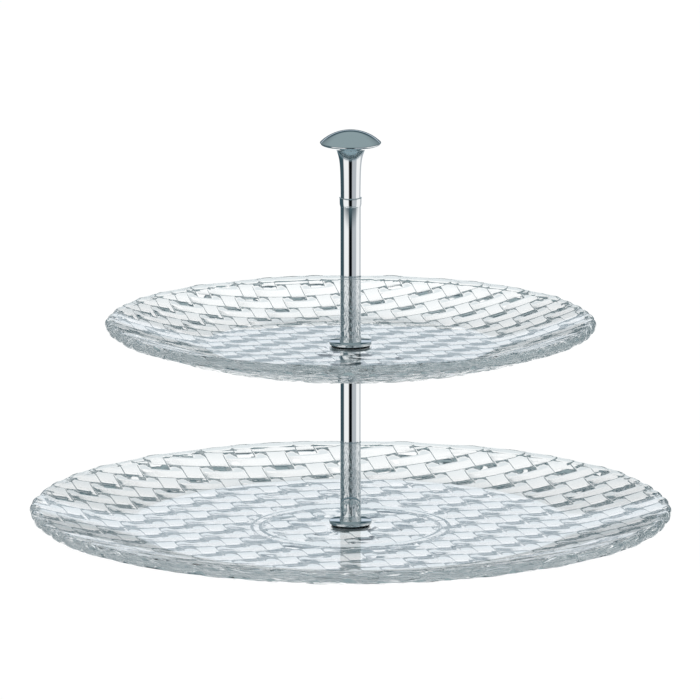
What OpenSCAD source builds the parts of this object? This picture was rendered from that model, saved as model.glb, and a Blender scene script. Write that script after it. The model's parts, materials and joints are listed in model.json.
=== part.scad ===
// Two-tier cake stand: two pressed-glass dishes clamped on a chromed pole
// that screws together in sections, with a mushroom-shaped finial to lift it by.
// The origin is on the table, under the middle of the foot ring. +Z is up.

/* [Lower dish] */
// Outside diameter of the lower dish
lower_d = 320; // [280:1:350]
// Radius of the lower dish's flat middle
lower_flat_r = 107; // [90:1:115]
// Rise of the lower dish's rim above its flat middle
lower_rise = 10.1; // [6:0.1:18]
// Glass thickness of the lower dish
lower_t = 5.8; // [4.5:0.1:8]

/* [Upper dish] */
// Outside diameter of the upper dish
upper_d = 244; // [200:1:270]
// Radius of the upper dish's flat middle
upper_flat_r = 70; // [55:1:80]
// Rise of the upper dish's rim above its flat middle
upper_rise = 13.2; // [6:0.1:18]
// Glass thickness of the upper dish
upper_t = 5.5; // [4.5:0.1:8]

/* [Both dishes] */
// Radius of the hole that the pole's screws pass through
hole_r = 4.5; // [4.1:0.1:5]
// How late the wall turns up: 1 is a straight cone, 2 is a soft bowl
wall_power = 1.35; // [1:0.05:2]

/* [Foot ring] */
// Mean radius of the glass ring that the stand rests on
foot_r = 47; // [40:1:60]
// Height of the foot ring
foot_h = 4; // [3.8:0.1:6]
// Width of the flat that touches the table
foot_flat_w = 2.4; // [1.5:0.1:4]
// Width of the foot ring where it meets the dish
foot_root_w = 6; // [4.5:0.1:8]

/* [Pole] */
// Height from the lower dish's glass surface to the upper one's
tier_gap = 90.9; // [75:0.1:120]
// Height from the upper dish's glass surface to the top of the finial ring
upper_reach = 74.3; // [50:0.1:110]
// Outside radius of the rods
rod_r = 5.15; // [5:0.05:5.3]
// Wall thickness of the rods
rod_wall = 0.95; // [0.8:0.05:1.1]
// Radius of the flange discs that clamp the dishes
disc_r = 10.6; // [9.5:0.1:13]
// Thickness of the flange discs
disc_t = 1.5; // [1:0.1:2]
// Height of the tapered collar at each rod's foot
collar_h = 2.4; // [1.5:0.1:4]

/* [Screws and inserts] */
// Radius of the screws and studs
screw_r = 2.95; // [2.9:0.01:2.96]
// Radius of the threaded bores that the screws turn in
thread_bore_r = 3; // [3:0.01:3.02]
// Length of thread engaged when a joint is tight
engaged = 8; // [6:0.5:9]
// Length of the threaded inserts in the rods' ends
insert_len = 12; // [11:0.5:16]
// Radius of the base screw's head
head_r = 9; // [8:0.5:10]
// Thickness of the base screw's head
head_t = 1.8; // [1.5:0.1:2]

/* [Gaskets] */
// Thickness of the clear washers between metal and glass
gasket_t = 0.4; // [0.3:0.1:0.6]
// Radius of the washers
gasket_r = 9.6; // [9:0.1:9.8]

/* [Finial] */
// Radius of the finial's mushroom cap
cap_r = 15.2; // [13:0.1:18]
// Height of the finial above its ring
finial_h = 33.8; // [30:0.1:40]
// Height of the finial's stem, up to the cap's underside
stem_h = 24.7; // [20:0.1:26]
// Radius of the stem's foot
stem_r = 5.05; // [5:0.05:5.2]
// Radius of the stem where it flares out under the cap
flare_r = 8.65; // [7.5:0.05:9]
// Radius of the ring that the finial stands on
ring_r = 5.6; // [5.4:0.05:6]

/* [Hidden] */

round_fn = 96;
wall_steps = 12;
arc_steps = 8;
flare_steps = 12;
overlap = 0.5;

chrome = [0.78, 0.8, 0.82];
steel = [0.55, 0.57, 0.6];
brass = [0.75, 0.62, 0.35];
glass = [0.8, 0.88, 0.9, 0.5];
clear_plastic = [0.9, 0.92, 0.93, 0.6];

// Clearances and small sizes shared by several pieces
sleeve_gap = 0.1;
pass_bore_r = 3.2;
edge_bevel = 0.25;
collar_top_r = rod_r;
collar_foot_r = rod_r + 0.3;
slot_w = 1.6;
slot_depth = 0.9;
ring_h = 4.5;
ring_bevel_h = 1.4;
ring_bevel_r = rod_r + 0.15;
cap_edge_r = 0.9;
cap_edge_z = 27.2;
flare_decay = 3.4;
finial_bore_depth = 12;
blind_gap = 0.6;

// Heights up the pole, from the table
lower_glass_z = foot_h + lower_t;
lower_disc_z = lower_glass_z + gasket_t;
lower_collar_z = lower_disc_z + disc_t;
lower_rod_z = lower_collar_z + collar_h;
upper_glass_z = lower_glass_z + tier_gap;
upper_base_z = upper_glass_z - upper_t;
upper_rest_z = upper_base_z - gasket_t - disc_t;
upper_disc_z = upper_glass_z + gasket_t;
upper_collar_z = upper_disc_z + disc_t;
upper_rod_z = upper_collar_z + collar_h;
finial_z = upper_glass_z + upper_reach;
ring_z = finial_z - ring_h;
tube_bore_r = rod_r - rod_wall;

// Height of the glass above the flat middle at radius r
function wall_z(r, flat_r, edge_r, rise) =
    r <= flat_r ? 0 : rise * pow((r - flat_r) / (edge_r - flat_r), wall_power);

// Points on an arc in the section plane
function arc(centre, radius, from_deg, to_deg, steps) = [
    for (i = [0 : steps])
        let (a = from_deg + (to_deg - from_deg) * i / steps)
            centre + radius * [cos(a), sin(a)]
];

// Radius of the finial's stem at height z
function stem_radius(z) =
    stem_r + 0.012 * z + (flare_r - stem_r - 0.012 * stem_h) * exp((z - stem_h) / flare_decay);

// Dish of even thickness with a rounded rim and a hole for the pole
module dish(d, flat_r, rise, t) {
    edge_r = d / 2 - t / 2;
    top = [
        for (i = [0 : wall_steps])
            let (r = flat_r + (edge_r - flat_r) * i / wall_steps)
                [r, t + wall_z(r, flat_r, edge_r, rise)]
    ];
    rim = arc([edge_r, rise + t / 2], t / 2, 80, -80, arc_steps);
    underside = [
        for (i = [wall_steps : -1 : 0])
            let (r = flat_r + (edge_r - flat_r) * i / wall_steps)
                [r, wall_z(r, flat_r, edge_r, rise)]
    ];
    rotate_extrude($fn = round_fn)
        polygon(concat([[hole_r, 0], [hole_r, t]], top, rim, underside));
}

// Ring of rectangular section with its outer edges bevelled
module bevelled_ring(outer_r, inner_r, h) {
    rotate_extrude($fn = round_fn)
        polygon([
            [inner_r, 0],
            [outer_r - edge_bevel, 0],
            [outer_r, edge_bevel],
            [outer_r, h - edge_bevel],
            [outer_r - edge_bevel, h],
            [inner_r, h]
        ]);
}

// Flat washer with a sleeve that lines the glass hole
module sleeved_gasket(sleeve_len) {
    difference() {
        union() {
            cylinder(h = gasket_t, r = gasket_r, $fn = round_fn);
            translate([0, 0, -sleeve_len])
                cylinder(h = sleeve_len + gasket_t, r = hole_r - sleeve_gap, $fn = round_fn);
        }
        translate([0, 0, -sleeve_len - 1])
            cylinder(h = sleeve_len + gasket_t + 2, r = pass_bore_r, $fn = round_fn);
    }
}

// Plain flat washer
module flat_washer() {
    difference() {
        cylinder(h = gasket_t, r = gasket_r, $fn = round_fn);
        translate([0, 0, -1])
            cylinder(h = gasket_t + 2, r = pass_bore_r, $fn = round_fn);
    }
}

// Collar that widens towards the disc it stands on
module foot_collar() {
    difference() {
        cylinder(h = collar_h, r1 = collar_foot_r, r2 = collar_top_r, $fn = round_fn);
        translate([0, 0, -1])
            cylinder(h = collar_h + 2, r = pass_bore_r, $fn = round_fn);
    }
}

// Plug for a rod's end with a blind threaded bore that opens at its foot
module insert(bore_r, bore_depth) {
    difference() {
        cylinder(h = insert_len, r = tube_bore_r, $fn = round_fn);
        translate([0, 0, -1])
            cylinder(h = bore_depth + 1, r = bore_r, $fn = round_fn);
    }
}

// Rod tube of a given length
module rod(length) {
    difference() {
        cylinder(h = length, r = rod_r, $fn = round_fn);
        translate([0, 0, -1])
            cylinder(h = length + 2, r = tube_bore_r, $fn = round_fn);
    }
}

// Stud of a given length
module stud(length) {
    cylinder(h = length, r = screw_r, $fn = round_fn);
}

module lower_plate() {
    color(glass)
        union() {
            translate([0, 0, foot_h])
                dish(lower_d, lower_flat_r, lower_rise, lower_t);
            rotate_extrude($fn = round_fn)
                polygon([
                    [foot_r - foot_flat_w / 2, 0],
                    [foot_r + foot_flat_w / 2, 0],
                    [foot_r + foot_root_w / 2, foot_h + overlap],
                    [foot_r - foot_root_w / 2, foot_h + overlap]
                ]);
        }
}

module base_screw() {
    head_z = foot_h - gasket_t - head_t;
    color(steel)
        difference() {
            union() {
                translate([0, 0, head_z])
                    bevelled_ring(head_r, 0, head_t);
                translate([0, 0, head_z])
                    cylinder(h = lower_rod_z + engaged - head_z, r = screw_r, $fn = round_fn);
            }
            translate([-head_r - 1, -slot_w / 2, head_z - 1])
                cube([2 * head_r + 2, slot_w, slot_depth + 1]);
        }
}

module base_washer() {
    color(clear_plastic)
        translate([0, 0, foot_h - gasket_t])
            flat_washer();
}

module lower_seat_gasket() {
    color(clear_plastic)
        translate([0, 0, lower_glass_z])
            sleeved_gasket(lower_t);
}

module lower_disc() {
    color(chrome)
        translate([0, 0, lower_disc_z])
            bevelled_ring(disc_r, pass_bore_r, disc_t);
}

module lower_foot_collar() {
    color(chrome)
        translate([0, 0, lower_collar_z])
            foot_collar();
}

module lower_foot_insert() {
    color(brass)
        translate([0, 0, lower_rod_z])
            insert(thread_bore_r, engaged + blind_gap);
}

module lower_rod() {
    color(chrome)
        translate([0, 0, lower_rod_z])
            rod(upper_rest_z - lower_rod_z);
}

module lower_top_insert() {
    color(brass)
        translate([0, 0, upper_rest_z])
            mirror([0, 0, 1])
                insert(screw_r, engaged);
}

module upper_stud() {
    color(steel)
        translate([0, 0, upper_rest_z - engaged])
            stud(upper_rod_z - upper_rest_z + 2 * engaged);
}

module upper_rest_disc() {
    color(chrome)
        translate([0, 0, upper_rest_z])
            bevelled_ring(disc_r, screw_r, disc_t);
}

module upper_rest_gasket() {
    color(clear_plastic)
        translate([0, 0, upper_base_z - gasket_t])
            flat_washer();
}

module upper_plate() {
    color(glass)
        translate([0, 0, upper_base_z])
            dish(upper_d, upper_flat_r, upper_rise, upper_t);
}

module upper_seat_gasket() {
    color(clear_plastic)
        translate([0, 0, upper_glass_z])
            sleeved_gasket(upper_t);
}

module upper_disc() {
    color(chrome)
        translate([0, 0, upper_disc_z])
            bevelled_ring(disc_r, pass_bore_r, disc_t);
}

module upper_foot_collar() {
    color(chrome)
        translate([0, 0, upper_collar_z])
            foot_collar();
}

module upper_foot_insert() {
    color(brass)
        translate([0, 0, upper_rod_z])
            insert(thread_bore_r, engaged + blind_gap);
}

module upper_rod() {
    color(chrome)
        translate([0, 0, upper_rod_z])
            rod(ring_z - upper_rod_z);
}

module upper_top_insert() {
    color(brass)
        translate([0, 0, ring_z])
            mirror([0, 0, 1])
                insert(screw_r, engaged);
}

module finial_stud() {
    color(steel)
        translate([0, 0, ring_z - engaged])
            stud(ring_h + 2 * engaged);
}

// The ring is wider than the rod and bevelled down to meet it
module finial_ring() {
    color(chrome)
        translate([0, 0, ring_z])
            rotate_extrude($fn = round_fn)
                polygon([
                    [pass_bore_r, 0],
                    [ring_bevel_r, 0],
                    [ring_r, ring_bevel_h],
                    [ring_r, ring_h - edge_bevel],
                    [ring_r - edge_bevel, ring_h],
                    [pass_bore_r, ring_h]
                ]);
}

// The cap's dome is an arc that runs tangent into its rounded edge
module finial() {
    edge_centre = [cap_r - cap_edge_r, cap_edge_z];
    dome_h = finial_h - cap_edge_z;
    dome_r = (pow(edge_centre[0], 2) + pow(dome_h, 2) - pow(cap_edge_r, 2)) / (2 * (dome_h - cap_edge_r));
    dome_centre = [0, finial_h - dome_r];
    join_deg = atan2(cap_edge_z - dome_centre[1], edge_centre[0]);
    under_deg = -75;
    stem = [
        for (i = [0 : flare_steps])
            let (z = stem_h * (1 - pow(1 - i / flare_steps, 2)))
                [stem_radius(z), z]
    ];
    edge = arc(edge_centre, cap_edge_r, under_deg, join_deg, arc_steps);
    dome = arc(dome_centre, dome_r, join_deg, 90, 2 * arc_steps);
    color(chrome)
        translate([0, 0, finial_z])
            difference() {
                rotate_extrude($fn = round_fn)
                    polygon(concat([[0, 0]], stem, edge, [for (i = [1 : 2 * arc_steps]) dome[i]]));
                translate([0, 0, -1])
                    cylinder(h = finial_bore_depth + 1, r = thread_bore_r, $fn = round_fn);
            }
}

lower_plate();
base_screw();
base_washer();
lower_seat_gasket();
lower_disc();
lower_foot_collar();
lower_foot_insert();
lower_rod();
lower_top_insert();
upper_stud();
upper_rest_disc();
upper_rest_gasket();
upper_plate();
upper_seat_gasket();
upper_disc();
upper_foot_collar();
upper_foot_insert();
upper_rod();
upper_top_insert();
finial_stud();
finial_ring();
finial();
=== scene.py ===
import json
import math

import bpy
import numpy as np
from mathutils import Matrix, Vector
from mathutils.geometry import delaunay_2d_cdt


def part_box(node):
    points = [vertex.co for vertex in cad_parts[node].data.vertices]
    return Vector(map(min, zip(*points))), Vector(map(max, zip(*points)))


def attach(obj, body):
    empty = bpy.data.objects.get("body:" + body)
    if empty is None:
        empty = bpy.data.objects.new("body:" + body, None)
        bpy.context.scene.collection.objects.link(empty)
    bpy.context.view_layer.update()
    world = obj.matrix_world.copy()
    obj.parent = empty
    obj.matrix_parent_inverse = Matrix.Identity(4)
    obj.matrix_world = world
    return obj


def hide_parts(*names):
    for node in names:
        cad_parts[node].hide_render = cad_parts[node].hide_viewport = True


MM = 0.001

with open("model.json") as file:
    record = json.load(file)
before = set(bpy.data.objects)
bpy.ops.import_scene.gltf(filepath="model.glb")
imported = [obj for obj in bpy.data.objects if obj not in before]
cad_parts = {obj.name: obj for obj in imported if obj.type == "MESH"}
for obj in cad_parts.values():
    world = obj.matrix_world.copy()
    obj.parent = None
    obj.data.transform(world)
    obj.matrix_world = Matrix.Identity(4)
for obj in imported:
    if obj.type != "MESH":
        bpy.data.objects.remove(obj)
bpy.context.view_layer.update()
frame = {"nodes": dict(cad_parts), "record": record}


# ---------------------------------------------------------------- places

def low(node):
    """Height of a CAD node's lowest point, in metres."""
    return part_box(node)[0].z


def high(node):
    """Height of a CAD node's highest point, in metres."""
    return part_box(node)[1].z


def radius(node):
    """Radius of a CAD node about the pole, in metres."""
    corner_low, corner_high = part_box(node)
    return (corner_high.y - corner_low.y) / 2


# ---------------------------------------------------------------- materials

class Shader:
    """A new node material with one Principled shader, and short calls to add nodes to it."""

    def __init__(self, name, **values):
        self.mat = bpy.data.materials.new(name)
        self.mat.use_nodes = True
        self.tree = self.mat.node_tree
        self.main = self.tree.nodes["Principled BSDF"]
        for socket, value in values.items():
            self.main.inputs[socket.replace("_", " ")].default_value = value

    def node(self, kind, **inputs):
        made = self.tree.nodes.new(kind)
        for name, value in inputs.items():
            self.put(made.inputs[name.replace("_", " ")], value)
        return made

    def put(self, socket, value):
        if isinstance(value, bpy.types.NodeSocket):
            self.tree.links.new(value, socket)
        else:
            socket.default_value = value

    def noise(self, scale, detail=2.0, stretch=(1, 1, 1)):
        """Noise in the object's own coordinates, scale in features a metre."""
        coords = self.tree.nodes.new("ShaderNodeTexCoord")
        mapped = self.node("ShaderNodeMapping", Vector=coords.outputs["Object"], Scale=stretch)
        made = self.node("ShaderNodeTexNoise", Vector=mapped.outputs[0], Scale=scale, Detail=detail)
        return made.outputs["Fac"]

    def between(self, factor, low_value, high_value):
        """A number that goes from one value to the other with the factor."""
        ramp = self.node("ShaderNodeMapRange", Value=factor)
        ramp.inputs["To Min"].default_value = low_value
        ramp.inputs["To Max"].default_value = high_value
        return ramp.outputs[0]

    def bump(self, height, distance, strength=1.0):
        made = self.node("ShaderNodeBump", Height=height, Distance=distance, Strength=strength)
        self.put(self.main.inputs["Normal"], made.outputs[0])


def pressed_glass():
    """Clear pressed glass, fire-polished, with the slow ripple of a mould."""
    s = Shader("pressed_glass", Base_Color=(0.985, 0.992, 0.992, 1), IOR=1.52, Transmission_Weight=1.0)
    s.put(s.main.inputs["Roughness"], s.between(s.noise(60), 0.0, 0.02))
    s.bump(s.noise(90, detail=1.0), 0.0002, 0.25)
    return s.mat


def chrome(name="chrome", tint=(0.86, 0.88, 0.89, 1)):
    """Mirror chrome plating with faint polishing haze."""
    s = Shader(name, Base_Color=tint, Metallic=1.0)
    s.put(s.main.inputs["Roughness"], s.between(s.noise(400, stretch=(1, 1, 0.1)), 0.02, 0.05))
    s.bump(s.noise(2500, stretch=(1, 1, 0.05)), 0.000002, 0.04)
    return s.mat


def turned_metal(name, tint, rough):
    """Turned or rolled metal with fine rings round the pole's axis."""
    s = Shader(name, Base_Color=tint, Metallic=1.0)
    s.put(s.main.inputs["Roughness"], s.between(s.noise(900), rough, rough + 0.15))
    s.bump(s.noise(200, stretch=(0.05, 0.05, 20)), 0.00001, 0.5)
    return s.mat


def soft_plastic():
    """Clear soft plastic, a little frosted."""
    s = Shader("clear_plastic", Base_Color=(0.95, 0.96, 0.97, 1), IOR=1.45, Transmission_Weight=0.9)
    s.put(s.main.inputs["Roughness"], s.between(s.noise(500), 0.15, 0.3))
    s.bump(s.noise(1500), 0.00002, 0.4)
    return s.mat


GLASS = pressed_glass()
CHROME = chrome()
STEEL = turned_metal("steel", (0.6, 0.62, 0.64, 1), 0.2)
BRASS = turned_metal("brass", (0.72, 0.55, 0.28, 1), 0.2)
PLASTIC = soft_plastic()
SLOT_MATERIALS = {
    "pressed_glass": GLASS, "chrome": CHROME, "steel": STEEL, "brass": BRASS, "clear_plastic": PLASTIC,
}
BODIES = frame["record"]["behaviour"]["bodies"]
BODY_OF = {node: body for body, nodes in BODIES.items() for node in nodes}
SLOT_OF = {entry["node"]: entry["material_slot"] for entry in frame["record"]["subparts"]}


# ---------------------------------------------------------------- pieces

def add_piece(name, verts, faces, node, normals=None, sharp_deg=None):
    """A mesh piece that replaces a CAD node and rides on its body."""
    mesh = bpy.data.meshes.new(name)
    mesh.from_pydata([tuple(v) for v in verts], [], [tuple(f) for f in faces])
    mesh.validate()
    mesh.shade_smooth()
    if sharp_deg is not None:
        mesh.set_sharp_from_angle(angle=math.radians(sharp_deg))
    if normals is not None:
        mesh.normals_split_custom_set_from_vertices([tuple(n) for n in normals])
    piece = bpy.data.objects.new(name, mesh)
    bpy.context.scene.collection.objects.link(piece)
    mesh.materials.append(SLOT_MATERIALS[SLOT_OF[node]])
    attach(piece, BODY_OF[node])
    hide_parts(node)
    return piece


def lathe(name, profile, node, segments=160, sharp_deg=28):
    """A body of revolution from a closed section, a list of (radius, height) that runs anticlockwise."""
    verts, faces, rings = [], [], []
    for r, z in profile:
        # A point on the axis is one vertex
        if r < 1e-7:
            rings.append([len(verts)] * segments)
            verts.append((0, 0, z))
            continue
        rings.append(list(range(len(verts), len(verts) + segments)))
        for k in range(segments):
            a = 2 * math.pi * k / segments
            verts.append((r * math.cos(a), r * math.sin(a), z))
    for a, b in zip(rings, rings[1:] + rings[:1]):
        for k in range(segments):
            corners = [a[k], a[(k + 1) % segments], b[(k + 1) % segments], b[k]]
            face = [c for n, c in enumerate(corners) if c != corners[n - 1]]
            if len(set(face)) > 2:
                faces.append(face)
    return add_piece(name, verts, faces, node, sharp_deg=sharp_deg)


def arc(centre, r, from_deg, to_deg, steps):
    """Points on an arc in the section plane."""
    return [
        (centre[0] + r * math.cos(math.radians(a)), centre[1] + r * math.sin(math.radians(a)))
        for a in np.linspace(from_deg, to_deg, steps + 1)
    ]


def ring_section(outer, inner, z0, z1, round_r, steps=4):
    """Section of a ring with its outer corners rounded."""
    return (
        [(inner, z0)]
        + arc((outer - round_r, z0 + round_r), round_r, -90, 0, steps)
        + arc((outer - round_r, z1 - round_r), round_r, 0, 90, steps)
        + [(inner, z1)]
    )


# ---------------------------------------------------------------- woven glass dishes

def smooth(t):
    t = np.clip(t, 0, 1)
    return t * t * (3 - 2 * t)


def round_lookup(angle, angles, values):
    """A value at each angle, read between samples that run once round the pole."""
    return np.interp(angle, np.append(angles, 2 * math.pi), np.append(values, values[0]))


def angle_of(x, y):
    return np.mod(np.arctan2(y, x), 2 * math.pi)


class Weave:
    """Basket-weave relief: arched strips that cross over and under, with rounded pits between them."""

    TURN = math.radians(15)
    WIDTH = 0.63
    SIDE = 0.045
    ARCH = 0.13
    SEAM = 0.07
    PIT = 0.085

    def __init__(self, pitch):
        self.pitch = pitch
        self.half = self.WIDTH * pitch / 2
        self.side = self.SIDE * pitch
        self.deepest = (self.SEAM + self.PIT) * pitch

    def turned(self, x, y):
        c, s = math.cos(self.TURN), math.sin(self.TURN)
        return x * c + y * s, -x * s + y * c

    def unturned(self, u, v):
        c, s = math.cos(self.TURN), math.sin(self.TURN)
        return u * c - v * s, u * s + v * c

    def strip(self, across, along, floor):
        """Depth of a strip's surface, arched along its length and dropping to the floor at its sides."""
        crest = self.ARCH * self.pitch * (along / self.pitch) ** 2
        inside = smooth((self.half - across) / self.side)
        return floor + (np.minimum(crest, floor) - floor) * inside

    def depth(self, x, y):
        """Depth of the relief behind the strips' crests, in metres."""
        u, v = self.turned(x, y)
        p, half = self.pitch, self.half
        j = np.round(u / p)
        i = np.round(v / p - 0.5)
        du = np.abs(u - j * p)
        dv = np.abs(v - (i + 0.5) * p)
        across_over = np.mod(i + j, 2) == 1
        open_half = p / 2 - half
        a = np.clip((p / 2 - du) / open_half, 0, 1)
        b = np.clip((p / 2 - dv) / open_half, 0, 1)
        floor = p * (self.SEAM + self.PIT * (1 - a * a) * (1 - b * b))
        level_a = self.strip(dv, np.where(across_over, du, p - du), floor)
        level_b = self.strip(du, np.where(across_over, p - dv, dv), floor)
        return np.minimum(level_a, level_b)

    def height(self, x, y):
        """The relief's height from 0 in the deepest pit to 1 on a crest."""
        return 1 - self.depth(x, y) / self.deepest

    def lines(self, reach, offset):
        """Grid lines along one axis that follow the relief's edges, out to a reach."""
        half, middle = self.half, self.pitch / 2
        steps = [
            0, half * 0.5, half - self.side, half - self.side / 2, half,
            half + (middle - half) * 0.3, half + (middle - half) * 0.65, middle,
        ]
        count = int(reach / self.pitch) + 2
        found = set()
        for k in range(-count, count + 1):
            for s in steps:
                for sign in (-1, 1):
                    found.add(round((k + offset) * self.pitch + sign * s, 9))
        return np.array(sorted(c for c in found if abs(c) < reach))


class Dish:
    """One glass dish, its shape read from the CAD node's box and a few sizes of its own."""

    RIM_POINTS = 1024
    RIM_ROWS = 8
    TOP_POINTS = 256
    HOLE_R = 4.5 * MM
    PAD_R = 12 * MM
    PAD_FADE = 2 * MM
    WALL_POWER = 1.35
    # How far the strips' ends are blurred along the rim, in pitches of the weave
    BLUR = 0.22
    # Between strips the rim steps in, its top dips and its underside lifts
    SCALLOP = 2.0 * MM
    DIP = 1.5 * MM
    LIFT = 1.0 * MM
    DIP_REACH = 3.5 * MM
    # Share of the relief that is left under the foot ring
    FOOT_RELIEF = 0.35

    def __init__(self, node, flat_r, thick, pitch, foot=None):
        self.node = node
        self.outer = radius(node)
        self.flat_r = flat_r
        self.thick = thick
        self.weave = Weave(pitch)
        self.foot = foot
        self.base = low(node) + (foot["height"] if foot else 0)
        self.rise = high(node) - self.base - thick
        self.edge = self.outer - thick / 2
        self.angles = circle(self.RIM_POINTS)
        self.crests = self.rim_crests(self.angles)

    def wall(self, r):
        t = np.clip((r - self.flat_r) / (self.edge - self.flat_r), 0, None)
        return self.rise * t ** self.WALL_POWER

    def notch(self, x, y):
        """1 at the rim between two strip ends, down to 0 at a strip's end and further in."""
        crest = round_lookup(angle_of(x, y), self.angles, self.crests)
        return (1 - crest) * smooth((np.hypot(x, y) - self.edge + self.DIP_REACH) / self.DIP_REACH)

    def top_z(self, x, y):
        return self.base + self.thick + self.wall(np.hypot(x, y)) - self.DIP * self.notch(x, y)

    def under_z(self, x, y):
        r = np.hypot(x, y)
        cut = self.weave.depth(x, y)
        cut = cut * smooth((r - self.PAD_R) / self.PAD_FADE)
        if self.foot:
            f = self.foot
            away = np.abs(r - f["radius"])
            clear = smooth((away - f["root"] / 2) / f["fade"])
            cut = cut * (self.FOOT_RELIEF + (1 - self.FOOT_RELIEF) * clear)
            slope_w = (f["root"] - f["flat"]) / 2
            cut = cut - f["height"] * (1 - smooth((away - f["flat"] / 2) / slope_w))
        return self.base + self.wall(r) + cut + self.LIFT * self.notch(x, y)

    def rim_crests(self, angles):
        """1 where a strip ends on the rim, down to 0 between strips."""
        total = np.zeros_like(angles)
        # The relief is averaged from 1 to 6 mm in from the outer edge
        depths = np.linspace(1, 6, 6) * MM
        for depth in depths:
            r = self.outer - depth
            total += self.weave.height(r * np.cos(angles), r * np.sin(angles))
        level = total / len(depths)
        spread = int(self.BLUR * self.weave.pitch / (2 * math.pi * self.outer / len(angles)))
        kernel = np.hanning(2 * spread + 3)
        wrapped = np.concatenate([level[-spread - 1:], level, level[: spread + 1]])
        level = np.convolve(wrapped, kernel / kernel.sum(), mode="valid")
        return (level - level.min()) / (level.max() - level.min())

    def outline(self):
        """Radius of the wavy rim, which bulges where a strip ends on it."""
        return self.outer - self.SCALLOP * (1 - self.crests)


def normals_of(z_function, x, y, sign):
    """Unit normals of a height surface, by central differences."""
    step = 0.02 * MM
    dx = (z_function(x + step, y) - z_function(x - step, y)) / (2 * step)
    dy = (z_function(x, y + step) - z_function(x, y - step)) / (2 * step)
    n = np.stack([-dx * sign, -dy * sign, np.full_like(dx, float(sign))], axis=1)
    return n / np.linalg.norm(n, axis=1)[:, None]


class Builder:
    """Collects vertices with their normals, and faces."""

    def __init__(self):
        self.verts = []
        self.normals = []
        self.faces = []
        self.count = 0

    def add(self, x, y, z, normals):
        """Adds points and returns their indices."""
        self.verts.append(np.stack([x, y, z], axis=1))
        self.normals.append(normals)
        first = self.count
        self.count += len(x)
        return np.arange(first, self.count)

    def band(self, inner, outer, up):
        """Quads between two rings of the same count."""
        for a, b, c, d in zip(inner, np.roll(inner, -1), np.roll(outer, -1), outer):
            self.faces.append((a, d, c, b) if up else (a, b, c, d))

    def fill(self, loops, loose, keep, up):
        """Triangles between loops of vertices, with the loose ones, where keep(x, y) is true."""
        verts = np.concatenate(self.verts)
        corners_in = [np.asarray(loop).ravel() for loop in loops]
        ids = np.unique(np.concatenate(corners_in + [np.asarray(loose, int)]))
        place = {int(v): k for k, v in enumerate(ids)}
        # Triangulated in millimetres
        grow = 1000
        points = [Vector(verts[v][:2]) * grow for v in ids]
        edges = [(place[int(a)], place[int(b)]) for loop in loops for a, b in loop]
        out = delaunay_2d_cdt(points, edges, [], 0, 1e-7)
        source = [o[0] if o else None for o in out[3]]
        for tri in out[2]:
            corners = [source[k] for k in tri]
            if None in corners:
                continue
            cx = sum(points[k].x for k in corners) / (3 * grow)
            cy = sum(points[k].y for k in corners) / (3 * grow)
            if keep(cx, cy):
                face = tuple(int(ids[k]) for k in corners)
                self.faces.append(face if up else face[::-1])


def ring_edges(ring):
    return [(int(a), int(b)) for a, b in zip(ring, np.roll(ring, -1))]


def circle(count):
    return np.arange(count) * 2 * math.pi / count


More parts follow.
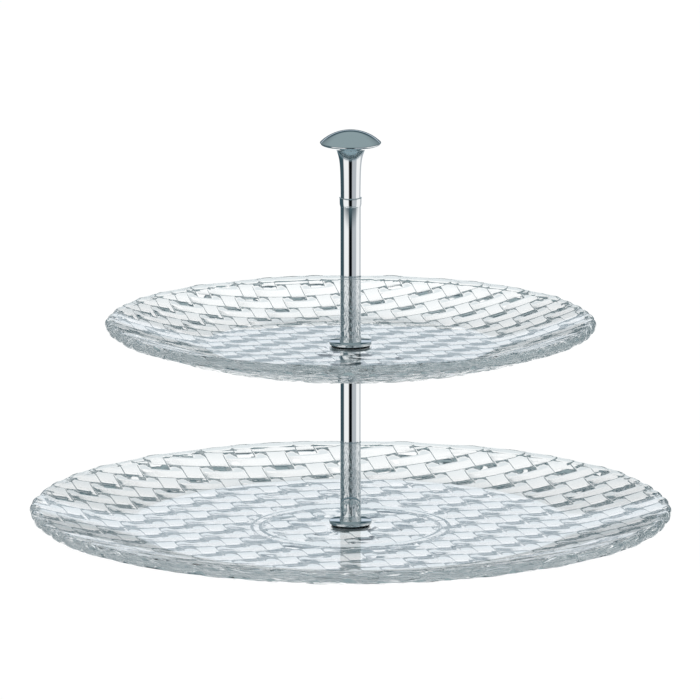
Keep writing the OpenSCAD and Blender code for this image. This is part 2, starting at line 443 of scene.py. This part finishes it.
def build_dish(dish, name):
    """The dish as one closed mesh: smooth above, woven below, with a wavy rim and any foot ring."""
    made = Builder()
    angles = dish.angles
    outline = dish.outline()
    shrink = outline - dish.outer
    cos, sin = np.cos(angles), np.sin(angles)
    edge = dish.edge + shrink

    # Rim: rows from the top's edge round to the underside's edge
    top_edge_z = dish.top_z(edge * cos, edge * sin)
    under_edge_z = dish.under_z(edge * cos, edge * sin)
    middle = (top_edge_z + under_edge_z) / 2
    half = (top_edge_z - under_edge_z) / 2
    rows = []
    for k in range(dish.RIM_ROWS + 1):
        turn = math.pi / 2 - math.pi * k / dish.RIM_ROWS
        r = edge + dish.thick / 2 * math.cos(turn)
        z = middle + half * math.sin(turn)
        rows.append((r * cos, r * sin, z))
    grid = np.array(rows).transpose(0, 2, 1)
    along = np.roll(grid, -1, axis=1) - np.roll(grid, 1, axis=1)
    down = np.empty_like(grid)
    down[1:-1] = grid[2:] - grid[:-2]
    down[0] = grid[1] - grid[0]
    down[-1] = grid[-1] - grid[-2]
    rim_normals = np.cross(down, along)
    rim_normals /= np.linalg.norm(rim_normals, axis=2)[:, :, None]
    outward = grid[..., 0] * rim_normals[..., 0] + grid[..., 1] * rim_normals[..., 1]
    if outward[dish.RIM_ROWS // 2].mean() < 0:
        rim_normals = -rim_normals
    rim_normals[0] = normals_of(dish.top_z, grid[0, :, 0], grid[0, :, 1], 1)
    rim_rings = [made.add(*grid[k].T, rim_normals[k]) for k in range(dish.RIM_ROWS + 1)]
    for upper_ring, lower_ring in zip(rim_rings, rim_rings[1:]):
        made.band(upper_ring, lower_ring, up=True)

    # Top: rings from the hole to where the rim's dips start
    top_angles = circle(dish.TOP_POINTS)
    radii = np.concatenate([
        np.linspace(dish.HOLE_R, dish.flat_r, 12),
        np.linspace(dish.flat_r, dish.edge - dish.DIP_REACH, 16)[1:],
    ])
    rings = []
    for r in radii:
        x, y = r * np.cos(top_angles), r * np.sin(top_angles)
        rings.append(made.add(x, y, dish.top_z(x, y), normals_of(dish.top_z, x, y, 1)))
    for a, b in zip(rings, rings[1:]):
        made.band(a, b, up=True)
    last = radii[-1]
    made.fill(
        [ring_edges(rings[-1]), ring_edges(rim_rings[0])], [],
        lambda x, y: math.hypot(x, y) > last * math.cos(math.pi / dish.TOP_POINTS), up=True,
    )

    # Underside: plain rings where it is round, a grid along the weave elsewhere
    def under_ring(r, count):
        a = circle(count)
        x, y = r * np.cos(a), r * np.sin(a)
        return made.add(x, y, dish.under_z(x, y), normals_of(dish.under_z, x, y, -1))

    hole_bottom = under_ring(dish.HOLE_R, dish.TOP_POINTS)
    pad_edge = under_ring(dish.PAD_R, dish.TOP_POINTS)
    made.band(hole_bottom, pad_edge, up=False)
    # The hole's wall
    hole_top = rings[0]
    made.band(hole_top, hole_bottom, up=False)
    zones = [(pad_edge, dish.PAD_R)]
    if dish.foot:
        f = dish.foot
        # Rings on the foot's middle, then each side's flat edge, slope and root
        steps = [f["flat"] / 2, f["root"] * 0.37, f["root"] / 2]
        radii = f["radius"] + np.array([-step for step in steps[::-1]] + [0] + steps)
        foot_rings = [under_ring(r, 2 * dish.TOP_POINTS) for r in radii]
        for a, b in zip(foot_rings, foot_rings[1:]):
            made.band(a, b, up=False)
        zones.append((foot_rings[0], radii[0]))
        zones.append((foot_rings[-1], radii[-1]))
    zones.append((rim_rings[-1], None))
    for (inner_ring, inner_r), (outer_ring, outer_r) in zip(zones[0::2], zones[1::2]):
        weave_zone(made, dish, inner_ring, inner_r, outer_ring, outer_r, angles, edge)
    verts = np.concatenate(made.verts)
    normals = np.concatenate(made.normals)
    return add_piece(name, verts, made.faces, dish.node, normals=normals)


def weave_zone(made, dish, inner_ring, inner_r, outer_ring, outer_r, angles, edge):
    """Fills the underside between two rings with a grid whose lines follow the strips' edges."""
    margin = 0.35 * MM
    near_reach, bare_reach = 4 * MM, 2 * MM
    us = dish.weave.lines(dish.outer, 0)
    vs = dish.weave.lines(dish.outer, 0.5)
    uu, vv = np.meshgrid(us, vs, indexing="ij")
    x, y = dish.weave.unturned(uu, vv)
    r = np.hypot(x, y)
    if outer_r is None:
        limit = round_lookup(angle_of(x, y), angles, edge)
    else:
        limit = outer_r
    inside = (r > inner_r + margin) & (r < limit - margin)
    index = np.full(uu.shape, -1)
    xs, ys = x[inside], y[inside]
    index[inside] = made.add(xs, ys, dish.under_z(xs, ys), normals_of(dish.under_z, xs, ys, -1))
    cell = inside[:-1, :-1] & inside[1:, :-1] & inside[:-1, 1:] & inside[1:, 1:]
    # A cell that spans the inner ring has its corners outside it but holds the ring
    near = np.minimum.reduce([r[:-1, :-1], r[1:, :-1], r[:-1, 1:], r[1:, 1:]]) < inner_r + near_reach
    centre_r = np.hypot((x[:-1, :-1] + x[1:, 1:]) / 2, (y[:-1, :-1] + y[1:, 1:]) / 2)
    cell &= ~(near & (centre_r < inner_r + bare_reach))
    edges = {}
    for i, j in zip(*np.nonzero(cell)):
        quad = (index[i, j], index[i, j + 1], index[i + 1, j + 1], index[i + 1, j])
        made.faces.append(tuple(int(q) for q in quad))
        for a, b in zip(quad, quad[1:] + quad[:1]):
            key = (int(min(a, b)), int(max(a, b)))
            edges[key] = edges.get(key, 0) + 1
    border = [k for k, n in edges.items() if n == 1]
    used = np.zeros(made.count, bool)
    for i, j in ((0, 0), (1, 0), (0, 1), (1, 1)):
        block = index[i:index.shape[0] - 1 + i, j:index.shape[1] - 1 + j]
        used[block[cell]] = True
    loose = [int(v) for v in index[inside] if not used[v]]

    def keep(cx, cy):
        cr = math.hypot(cx, cy)
        if cr < inner_r * math.cos(math.pi / len(inner_ring)):
            return False
        u, v = dish.weave.turned(cx, cy)
        i, j = np.searchsorted(us, u) - 1, np.searchsorted(vs, v) - 1
        if 0 <= i < cell.shape[0] and 0 <= j < cell.shape[1] and cell[i, j]:
            return False
        if outer_r is None:
            return True
        return cr < outer_r
    made.fill([border, ring_edges(inner_ring), ring_edges(outer_ring)], loose, keep, up=False)


LOWER_FOOT = {"radius": 47 * MM, "height": 4 * MM, "flat": 2.4 * MM, "root": 6 * MM, "fade": 1.5 * MM}
lower_dish = Dish("lower_plate", flat_r=107 * MM, thick=5.8 * MM, pitch=16.5 * MM, foot=LOWER_FOOT)
upper_dish = Dish("upper_plate", flat_r=70 * MM, thick=5.5 * MM, pitch=12.6 * MM)
build_dish(lower_dish, "glass_lower_dish")
build_dish(upper_dish, "glass_upper_dish")


# ---------------------------------------------------------------- chromed pole

def plain_ring(node, inner, round_r):
    lathe("chrome_" + node, ring_section(radius(node), inner, low(node), high(node), round_r), node)


ROD_R = radius("lower_rod")
ROD_WALL = 0.95 * MM
BORE_R = 3.2 * MM
SCREW_R = 2.95 * MM
DISC_ROUND = 0.2 * MM
TUBE_ROUND = 0.08 * MM
for disc in ("lower_disc", "upper_disc"):
    plain_ring(disc, BORE_R, DISC_ROUND)
plain_ring("upper_rest_disc", SCREW_R, DISC_ROUND)
for tube in ("lower_rod", "upper_rod"):
    plain_ring(tube, ROD_R - ROD_WALL, TUBE_ROUND)
for collar in ("lower_foot_collar", "upper_foot_collar"):
    z0, z1 = low(collar), high(collar)
    lathe("chrome_" + collar, [(BORE_R, z0), (radius(collar), z0), (ROD_R, z1), (BORE_R, z1)], collar)

ring_z0, ring_z1 = low("finial_ring"), high("finial_ring")
ring_r = radius("finial_ring")
ring_foot_r = ROD_R + 0.15 * MM
ring_bevel_h, ring_round = 1.4 * MM, 0.25 * MM
lathe("chrome_finial_ring", [
    (BORE_R, ring_z0), (ring_foot_r, ring_z0), (ring_r, ring_z0 + ring_bevel_h),
    *arc((ring_r - ring_round, ring_z1 - ring_round), ring_round, 0, 90, 4), (BORE_R, ring_z1),
], "finial_ring")


def finial_section():
    """The mushroom: a stem that flares under a cap, whose dome runs into a rounded edge."""
    z0 = low("finial")
    height = high("finial") - z0
    cap_r = radius("finial")
    edge_r, edge_z = 0.9 * MM, 27.2 * MM
    stem_h, stem_r, flare_r = 24.7 * MM, 5.05 * MM, 8.65 * MM
    taper, decay = 0.012, 3.4 * MM
    flare = flare_r - stem_r - taper * stem_h
    centre_r = cap_r - edge_r
    dome_h = height - edge_z
    dome_r = (centre_r ** 2 + dome_h ** 2 - edge_r ** 2) / (2 * (dome_h - edge_r))
    join = math.degrees(math.atan2(edge_z - (height - dome_r), centre_r))
    stem = []
    for t in np.linspace(0, 1, 33):
        z = stem_h * (1 - (1 - t) ** 2)
        stem.append((stem_r + taper * z + flare * math.exp((z - stem_h) / decay), z))
    edge = arc((centre_r, edge_z), edge_r, -75, join, 12)
    dome = arc((0, height - dome_r), dome_r, join, 90, 40)[1:]
    dome[-1] = (0, dome[-1][1])
    bore_r, bore_h = 3 * MM, 12 * MM
    section = [(bore_r, 0)] + stem + edge + dome + [(0, bore_h), (bore_r, bore_h)]
    return [(r, z + z0) for r, z in section]


lathe("chrome_finial", finial_section(), "finial", segments=192, sharp_deg=35)


# ---------------------------------------------------------------- screws, inserts, gaskets

for node, thing in frame["nodes"].items():
    thing.data.materials.clear()
    thing.data.materials.append(SLOT_MATERIALS[SLOT_OF[node]])


# ---------------------------------------------------------------- studio

def studio_floor():
    """A white glowing floor just under the stand, left out of what it mirrors and refracts."""
    mesh = bpy.data.meshes.new("studio_floor")
    reach = 6.0
    gap = 0.2 * MM
    corners = [(-reach, -reach, 0), (reach, -reach, 0), (reach, reach, 0), (-reach, reach, 0)]
    mesh.from_pydata(corners, [], [(0, 1, 2, 3)])
    mesh.transform(Matrix.Translation((0, 0, -gap)))
    floor = bpy.data.objects.new("studio_floor", mesh)
    bpy.context.scene.collection.objects.link(floor)
    s = Shader("studio_floor", Base_Color=(0.0, 0.0, 0.0, 1), Roughness=1.0)
    s.main.inputs["Emission Color"].default_value = (1, 1, 1, 1)
    s.main.inputs["Emission Strength"].default_value = 1.0
    mesh.materials.append(s.mat)
    floor.visible_glossy = False
    floor.visible_transmission = False
    floor.visible_shadow = False


def studio_world():
    """White behind the stand, panels for what it mirrors and a plain room for what shows through it."""
    world = bpy.data.worlds.new("studio")
    bpy.context.scene.world = world
    world.use_nodes = True
    tree = world.node_tree
    tree.nodes.clear()

    def node(kind, **settings):
        made = tree.nodes.new(kind)
        for name, value in settings.items():
            setattr(made, name, value)
        return made

    def math_node(operation, a, b=None, c=None):
        made = node("ShaderNodeMath", operation=operation)
        for socket, value in zip(made.inputs, (a, b, c)):
            if value is None:
                continue
            if isinstance(value, bpy.types.NodeSocket):
                tree.links.new(value, socket)
            else:
                socket.default_value = value
        return made.outputs[0]

    def ramp(factor, stops, interpolation="LINEAR"):
        made = node("ShaderNodeValToRGB")
        made.color_ramp.interpolation = interpolation
        tree.links.new(factor, made.inputs[0])
        elements = made.color_ramp.elements
        while len(elements) < len(stops):
            elements.new(1.0)
        for element, (at, colour) in zip(elements, stops):
            element.position = at
            element.color = (*colour, 1)
        return made.outputs[0]

    def mix(factor, a, b):
        made = node("ShaderNodeMix", data_type="RGBA")
        for socket, value in ((made.inputs[0], factor), (made.inputs[6], a), (made.inputs[7], b)):
            if isinstance(value, bpy.types.NodeSocket):
                tree.links.new(value, socket)
            elif isinstance(value, tuple):
                socket.default_value = (*value, 1)
            else:
                socket.default_value = value
        return made.outputs[2]

    direction = node("ShaderNodeTexCoord").outputs["Generated"]
    parts = node("ShaderNodeSeparateXYZ")
    tree.links.new(direction, parts.inputs[0])
    x, y, z = parts.outputs
    azimuth = math_node("ARCTAN2", x, math_node("MULTIPLY", y, -1.0))
    turn = math_node("MULTIPLY_ADD", azimuth, 0.5 / math.pi, 0.5)
    rise = math_node("MULTIPLY_ADD", math_node("ARCSINE", z), 1 / math.pi, 0.5)

    WHITE = (1.0, 1.0, 1.0)
    CLEAR = (1.17, 1.17, 1.17)
    SLATE = (0.045, 0.085, 0.105)
    DUSK = (0.16, 0.21, 0.23)
    BLACK = (0.002, 0.003, 0.004)
    PALE = (0.50, 0.53, 0.56)
    SKY = (0.29, 0.37, 0.39)
    TABLE = (0.28, 0.40, 0.46)
    DARK = (0.015, 0.035, 0.045)
    GLOW = (0.60, 0.69, 0.78)
    FLOOR = (0.86, 0.91, 0.93)
    NONE, ALL = (0, 0, 0), WHITE

    def at(degrees):
        """A ramp's place for a direction round the stand."""
        return degrees / 360 + 0.5

    def tilt(degrees):
        """A ramp's place for a height over the horizon."""
        return degrees / 180 + 0.5

    stripes = ramp(turn, [
        (at(-180), CLEAR), (at(-152), CLEAR),
        (at(-144), SLATE), (at(-82), SLATE),
        (at(-72), WHITE), (at(-24), WHITE),
        (at(-14), BLACK), (at(13), BLACK),
        (at(20), PALE), (at(62), PALE),
        (at(70), WHITE), (at(112), WHITE),
        (at(124), PALE), (at(150), PALE),
        (at(160), CLEAR), (at(180), CLEAR),
    ])
    above = ramp(rise, [(tilt(-2), SLATE), (tilt(12), DUSK), (tilt(45), SKY), (tilt(90), SKY)])
    back = ramp(turn, [(at(-165), ALL), (at(-150), NONE), (at(150), NONE), (at(165), ALL)])
    back_sky = ramp(rise, [
        (tilt(-8), CLEAR), (tilt(-6), SLATE), (tilt(8), SLATE), (tilt(10), GLOW),
        (tilt(14), GLOW), (tilt(16), SLATE), (tilt(24), SLATE), (tilt(32), SKY),
    ])
    horizon_mask = ramp(rise, [(tilt(-3), NONE), (tilt(1), ALL)])
    below = ramp(rise, [(tilt(-42), ALL), (tilt(-30), NONE)])
    table = ramp(rise, [(tilt(-68), TABLE), (tilt(-58), DARK), (tilt(-44), DARK), (tilt(-36), TABLE)])
    # What is mirrored, or guided inside the glass, meets the panels. Light straight through the
    # glass meets a pale floor and walls, and only what is bent upward meets the dark over them
    mirrored = mix(back, mix(horizon_mask, stripes, above), back_sky)
    mirrored = mix(below, mirrored, table)
    plain = ramp(rise, [
        (tilt(-80), FLOOR), (tilt(-30), FLOOR), (tilt(-14), CLEAR), (tilt(-5), CLEAR),
        (tilt(2), SLATE), (tilt(28), SLATE), (tilt(45), SKY),
    ])
    path = node("ShaderNodeLightPath").outputs
    unmirrored = math_node("LESS_THAN", path["Glossy Depth"], 0.5)
    straight = math_node("MULTIPLY", path["Is Transmission Ray"], unmirrored)
    room = mix(straight, mirrored, plain)
    colour = mix(path["Is Camera Ray"], room, WHITE)
    background = node("ShaderNodeBackground")
    tree.links.new(colour, background.inputs[0])
    out = node("ShaderNodeOutputWorld")
    tree.links.new(background.outputs[0], out.inputs[0])


def camera():
    data = bpy.data.cameras.new("camera")
    data.lens = 466.1
    data.sensor_width = 36
    data.clip_end = 50
    cam = bpy.data.objects.new("camera", data)
    bpy.context.scene.collection.objects.link(cam)
    target = Vector((-0.00025, 0, 0.09799))
    elevation = math.radians(11.05)
    distance = 4.5
    cam.location = target + distance * Vector((0, -math.cos(elevation), math.sin(elevation)))
    cam.rotation_euler = (target - cam.location).to_track_quat("-Z", "Y").to_euler()
    bpy.context.scene.camera = cam


studio_floor()
studio_world()
camera()
bpy.context.scene.view_settings.view_transform = "Standard"
# Light held inside the glass by its own surfaces needs many bounces to get out
BOUNCES = 32
light_paths = bpy.context.scene.cycles
light_paths.max_bounces = BOUNCES
light_paths.glossy_bounces = BOUNCES
light_paths.transmission_bounces = BOUNCES
